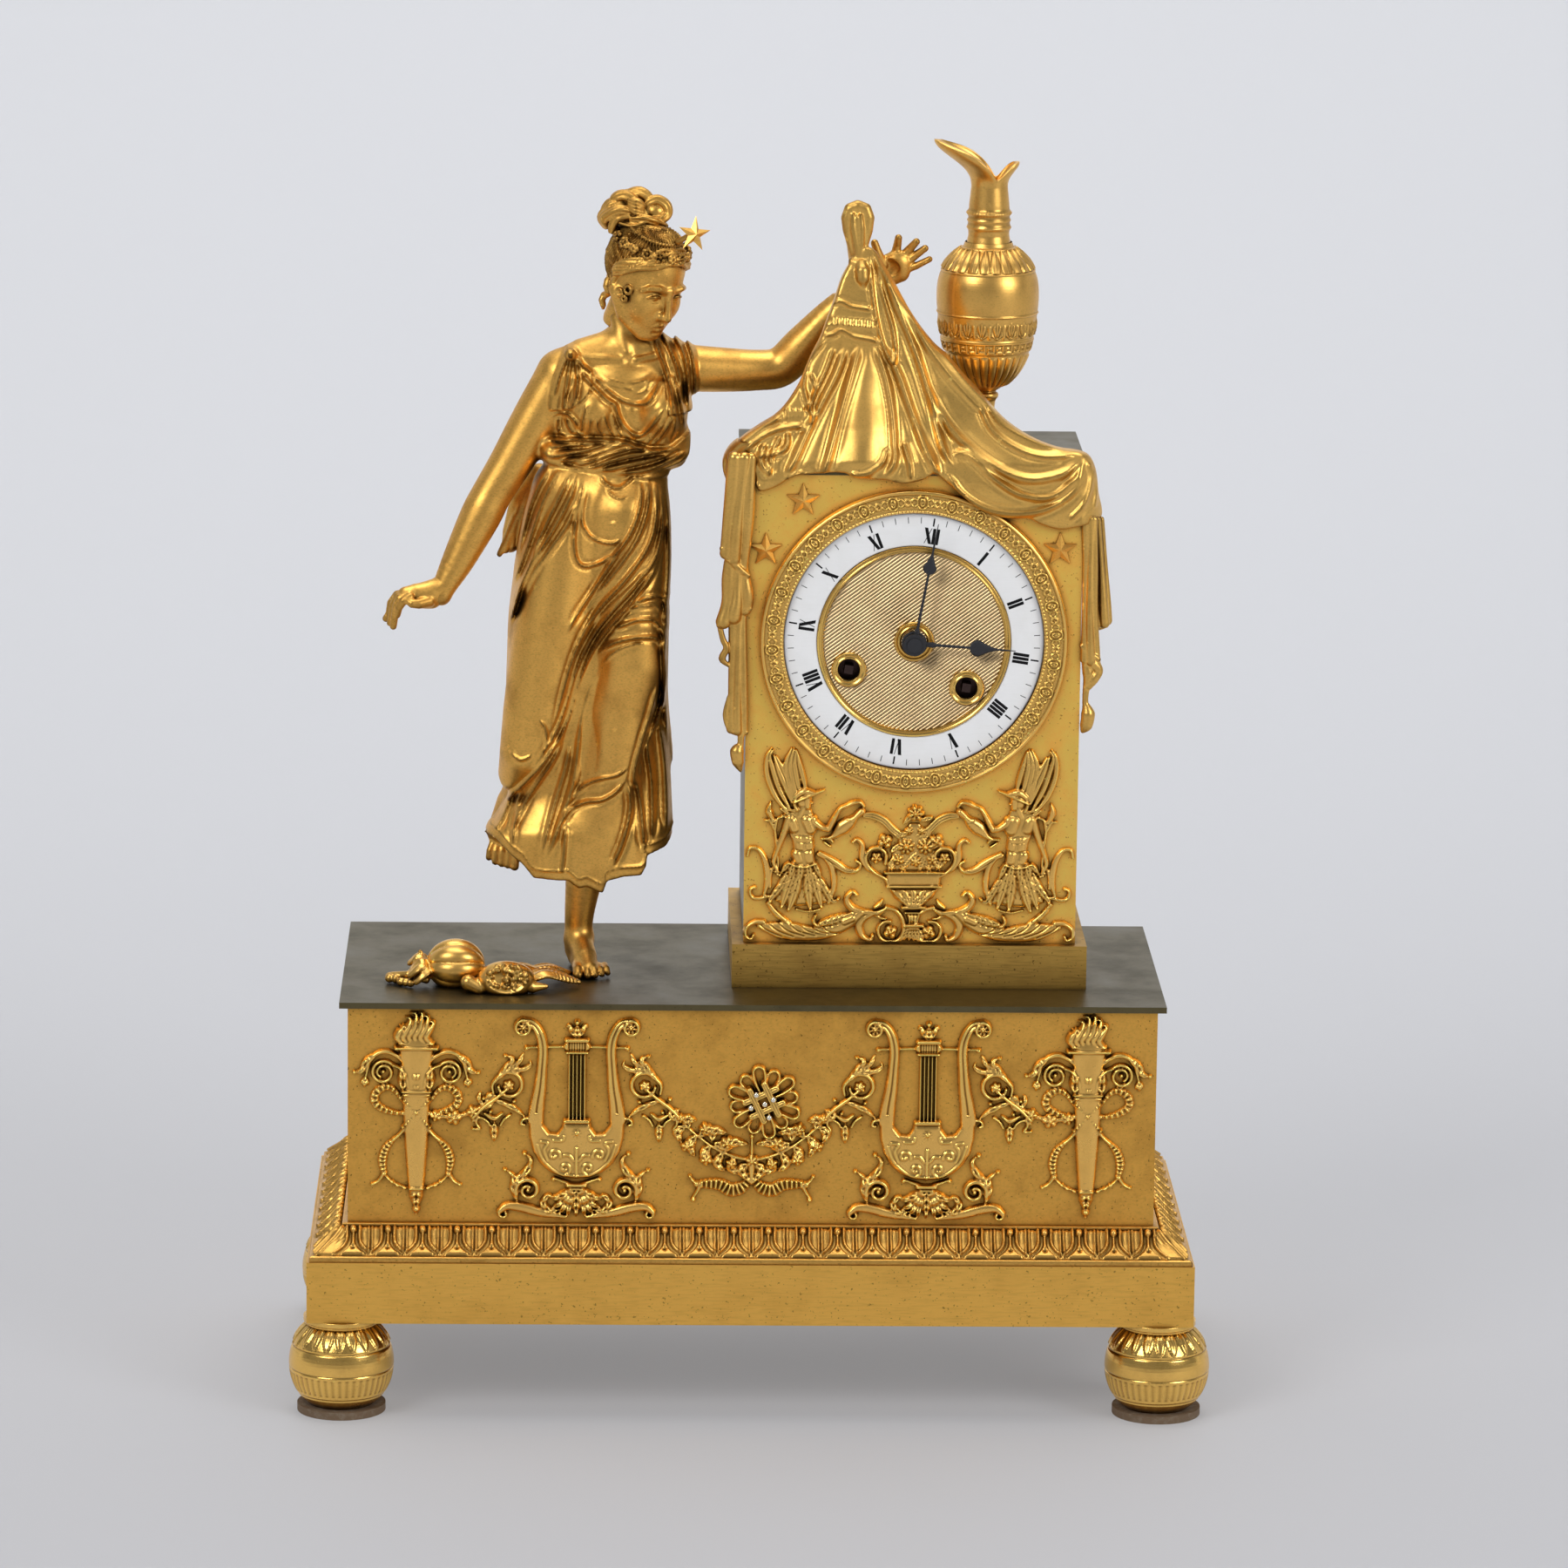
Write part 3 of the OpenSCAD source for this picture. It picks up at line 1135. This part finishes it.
module strike_barrel() {
    color(brass) mv() difference() {
        union() {
            wheel(strike_at, great_m, great_z, way_pin, strike_great_w, 1.5, 0);
            disc(strike_at, barrel_r, strike_great_w + 1, going_great_w + 1.5);
            disc(strike_at, pipe_r, count_w, strike_great_w + 1);
            translate([strike_at[0], strike_at[1], count_w]) linear_extrude(wheel_t) count_2d();
        }
        disc(strike_at, wind_r + run_gap, -20, 20);
    }
}

// A count wheel: a slot after each hour's run of blows
count_w = mv_back_w - mv_plate_t - 2.8;
module count_2d() {
    difference() {
        circle(r = 13);
        for (h = [1:12]) rotate(-360*(h*(h + 1)/2 + h)/90) translate([11.4, -0.6]) square([3, 1.2]);
    }
}

module wound_arbor(p) {
    front = mv_front_w + mv_plate_t;
    disc(p, wind_r, mv_back_w - mv_plate_t, front + 0.6);
    translate([p[0], p[1], front + 0.5]) linear_extrude(1.1)
        polygon([for (i = [0:31]) polar(i % 2 == 0 ? 6.4 : 5.4, 22.5*floor(i/2) + (i % 2)*4)]);
    translate([p[0] - 1.4, p[1] - 1.4, front + 1.5]) cube([2.8, 2.8, dial_back_w + 1.7 - front]);
}

module going_arbor() {
    color(steel) mv() wound_arbor(going_at);
}

module strike_arbor() {
    color(steel) mv() {
        wound_arbor(strike_at);
        disc(strike_at, wind_r, count_w - 0.6, mv_back_w);
    }
}

module third_wheel() {
    color(brass) mv() {
        arbor(third_at);
        pinion(third_at, centre_m, pinion_z, third_pinion_phase, centre_wheel_w - 0.5, 2);
        wheel(third_at, third_m, third_z, way_escape, third_wheel_w, wheel_t);
    }
}

module escape_wheel() {
    p = 360/escape_z;
    color(brass) mv() {
        arbor(escape_at);
        pinion(escape_at, third_m, pinion_z, escape_pinion_phase, third_wheel_w - 0.5, 2);
        translate([escape_at[0], escape_at[1], escape_w]) linear_extrude(wheel_t) difference() {
            polygon([for (i = [0:escape_z - 1])
                      for (q = [[escape_r - 1.6, 0], [escape_r, 0.3], [escape_r - 1.4, 0.42]])
                polar(q[0], p*(i + q[1]))]);
            difference() {
                circle(r = escape_r - 2.6);
                circle(r = 1.8);
                for (i = [0:3]) rotate(90*i) translate([0, -0.5]) square([escape_r, 1]);
            }
        }
    }
}

// The anchor, its arbor and the crutch that reaches the pendulum rod
module anchor() {
    reach = gap2(anchor_at, escape_at);
    way = heading(anchor_at, escape_at);
    color(steel) {
        mv() {
            arbor(anchor_at);
            disc(anchor_at, arbor_r, mv_back_w - mv_plate_t - 1.8, mv_back_w - mv_plate_t - 0.1);
            disc(anchor_at, pivot_r, mv_back_w - mv_plate_t - 1, mv_back_w);
            translate([anchor_at[0], anchor_at[1], escape_w]) linear_extrude(wheel_t) rotate(way + 90) {
                circle(r = 2.2);
                both_sides() {
                    band([[0, 0], [7.4, -2.4], [9.6, -reach + 4.6]], 1.3, 0.8);
                    polygon([[9, -reach + 5.4], [10.2, -reach + 5.2], [9.6, -reach + 1.4], [8.8, -reach + 2.4]]);
                }
            }
        }
        translate([susp[0], 0, susp[1]]) {
            box_at(-0.8, 0.8, pend_y - 5.2, pend_y - 4.4, -32, 0.5);
            for (s = [-1, 1]) translate([s*1.7, pend_y - 5, -31])
                rotate([-90, 0, 0]) cylinder(r = 0.6, h = 6.6);
            box_at(-2.3, 2.3, pend_y - 5.2, pend_y - 4.4, -32, -30);
        }
    }
}

hang_pin_r = 1;
module pendulum_cock() {
    back = mv_plate_t - mv_back_w;
    color(brass) translate([susp[0], 0, susp[1]]) {
        box_at(-12, 12, pend_y - 3.6, pend_y - 2.2, -3, 4);
        for (s = [-1, 1]) box_at(s*10 - 2, s*10 + 2, back, pend_y - 3.5, -3, 3);
        translate([0, pend_y - 3, 0]) rotate([-90, 0, 0]) cylinder(r = hang_pin_r, h = 5.4);
    }
}

module pendulum() {
    color(brass) translate([susp[0], pend_y, susp[1]]) {
        rotate([90, 0, 0]) difference() {
            cylinder(r = 2.2, h = 1.6, center = true);
            cylinder(r = hang_pin_r + run_gap, h = 4, center = true);
        }
        translate([0, 0, -pend_len]) cylinder(r = 0.7, h = pend_len - 1.6);
        translate([0, 0, -pend_len]) rotate([90, 0, 0]) cylinder(r = bob_r, h = 2.4, center = true);
        translate([0, 0, -pend_len]) rotate([90, 0, 0]) cylinder(r = bob_r - 3, h = 4.6, center = true);
        translate([0, 0, -pend_len - bob_r - 2.6]) cylinder(r = 1.8, h = 3);
    }
}

module pin_wheel() {
    color(brass) mv() {
        arbor(pin_at);
        pinion(pin_at, great_m, leaf_z, pin_pinion_phase, strike_great_w - 0.4, 2.4);
        wheel(pin_at, pin_m, wheel_z, way_lock, pin_w, wheel_t);
        for (i = [0:7]) disc(pin_at + polar(pin_m*(wheel_z/2 - 2.6), 45*i + 10), 0.35, pin_w + 0.9, pin_w + 2);
    }
}

module locking_wheel() {
    color(brass) mv() {
        arbor(lock_at);
        pinion(lock_at, pin_m, pinion_z, lock_pinion_phase, pin_w - 0.5, 2);
        wheel(lock_at, lock_m, third_z, way_fly, lock_w, wheel_t);
    }
}

module fly() {
    color(brass) mv() {
        arbor(fly_at);
        pinion(fly_at, lock_m, pinion_z, fly_phase, lock_w - 0.5, 2);
        translate([fly_at[0] - 4.2, fly_at[1] - 0.3, mv_back_w + 3]) cube([8.4, 0.6, 9]);
    }
}

bell_y = 22.6;
bell_t = 1.4;
hammer_r = 2.6;
hammer_head = polar(bell_r + hammer_r + 1.6, 200);

// The hammer turns on its arbor and strikes the rim of the bell from outside
module hammer() {
    pivot = turned(hammer_at);
    color(steel) {
        mv() {
            disc(hammer_at, arbor_r, -bell_y - 1.4, mv_front_w - 0.15);
            disc(hammer_at, pivot_r, mv_front_w - 1, mv_front_w + mv_plate_t);
        }
        face() {
            translate([0, 0, -bell_y - 1.6]) linear_extrude(1.6) {
                band([pivot, hammer_head], 1.5, 1);
                translate(pivot) circle(r = 2.4);
            }
            disc(hammer_head, hammer_r, -bell_y - 6, -bell_y - 0.4);
        }
    }
}

module bell() {
    d = 16;
    color(brass) face() difference() {
        translate([0, 0, -bell_y]) rotate_extrude() difference() {
            polygon(concat([[0, 0], [bell_r, 0]],
                           [for (a = [0:10:90]) [0.985*bell_r*cos(a), -2 - (d - 2)*sin(a)]]));
            polygon(concat([[-1, 1], [bell_r - bell_t, 1]],
                [for (a = [0:10:90])
                    [0.985*(bell_r - bell_t)*cos(a), -2 - (d - 2 - bell_t)*sin(a)]], [[-1, -d + bell_t]]));
        }
        disc([0, 0], 2 + flat_gap, -60, 0);
    }
}

module bell_stand() {
    foot = [-28, 14];
    back = mv_back_w - mv_plate_t;
    color(steel) face() {
        disc(foot, 2, -bell_y + 0.6, back);
        translate([0, 0, -bell_y + 0.6]) linear_extrude(1.8) band([foot, [0, 0]], 2, 2.4);
        disc([0, 0], 2, -bell_y - 19, -bell_y + 2);
        tube([0, 0], 3.6, 2, -bell_y - 18.2, -bell_y - 16.1);
    }
}

// The round door in the case back

module back_door() {
    r = door_hole_r + door_lap;
    color(dark) {
        difference() {
            union() {
                face() disc([0, 0], r, -case_back_y - 2.3, -case_back_y - seat);
                translate([case_x + hinge_x, hinge_y, dial_z - hinge_h/2 + 0.2]) {
                    cylinder(r = knuckle_r, h = hinge_h - 0.4);
                    translate([-5, -2.2, 0]) cube([5, 1.9, hinge_h - 0.4]);
                }
            }
            translate([case_x + hinge_x, hinge_y, dial_z - hinge_h])
                cylinder(r = hinge_r + run_gap, h = 2*hinge_h);
        }
        face() disc([-door_hole_r + 4, 0], 2, -case_back_y - 6.5, -case_back_y - 2);
    }
}

module door_hinge_pin() {
    color(steel) translate([case_x + hinge_x, hinge_y, dial_z - 1.5*hinge_h]) {
        cylinder(r = hinge_r, h = 3*hinge_h);
        translate([0, 0, 3*hinge_h]) cylinder(r = 1.8, h = 1.2);
    }
}

// Long straps that clamp the dial and movement against the case back
strap_r = 43;
strap_at = [polar(strap_r, 45), polar(strap_r, 225)];
module movement_straps() {
    color(steel) face() for (s = strap_at) {
        translate([s[0], s[1], -case_back_y + front_t + 2]) rotate([0, 0, 45])
            translate([-1, -3, 0]) cube([2, 6, dial_back_w + case_back_y - front_t - 2]);
        disc(s, 3, -case_back_y + front_t + seat, -case_back_y + front_t + 2.2);
        disc(s, 1.6, -case_back_y - 0.5, -case_back_y + front_t + 2);
        disc(s, 3, -case_back_y - 1.8, -case_back_y);
    }
}

felt_pads();
bun_feet();
foot_bolts();
base_plinth();
leaf_moulding();
base_box();
base_top_plate();
torch_mounts();
lyre_mounts();
garland_mount();
rosette_mount();
fruit_casting();
figure();
diadem_star();
case_plinth();
case_front();
case_sides();
case_back();
case_top();
case_bolts();
winged_mounts();
basket_mount();
star_mounts();
drape();
drape_tails();
ewer_body();
ewer_neck();
ewer_rod();
bezel();
enamel_ring();
dial_centre();
dial_plate();
winding_collets();
centre_collet();
minute_hand();
hour_hand();
hand_nut();
movement_plates();
pillars();
centre_arbor();
minute_wheel();
hour_wheel();
going_barrel();
strike_barrel();
going_arbor();
strike_arbor();
third_wheel();
escape_wheel();
anchor();
pendulum_cock();
pendulum();
pin_wheel();
locking_wheel();
fly();
hammer();
bell();
bell_stand();
back_door();
door_hinge_pin();
movement_straps();
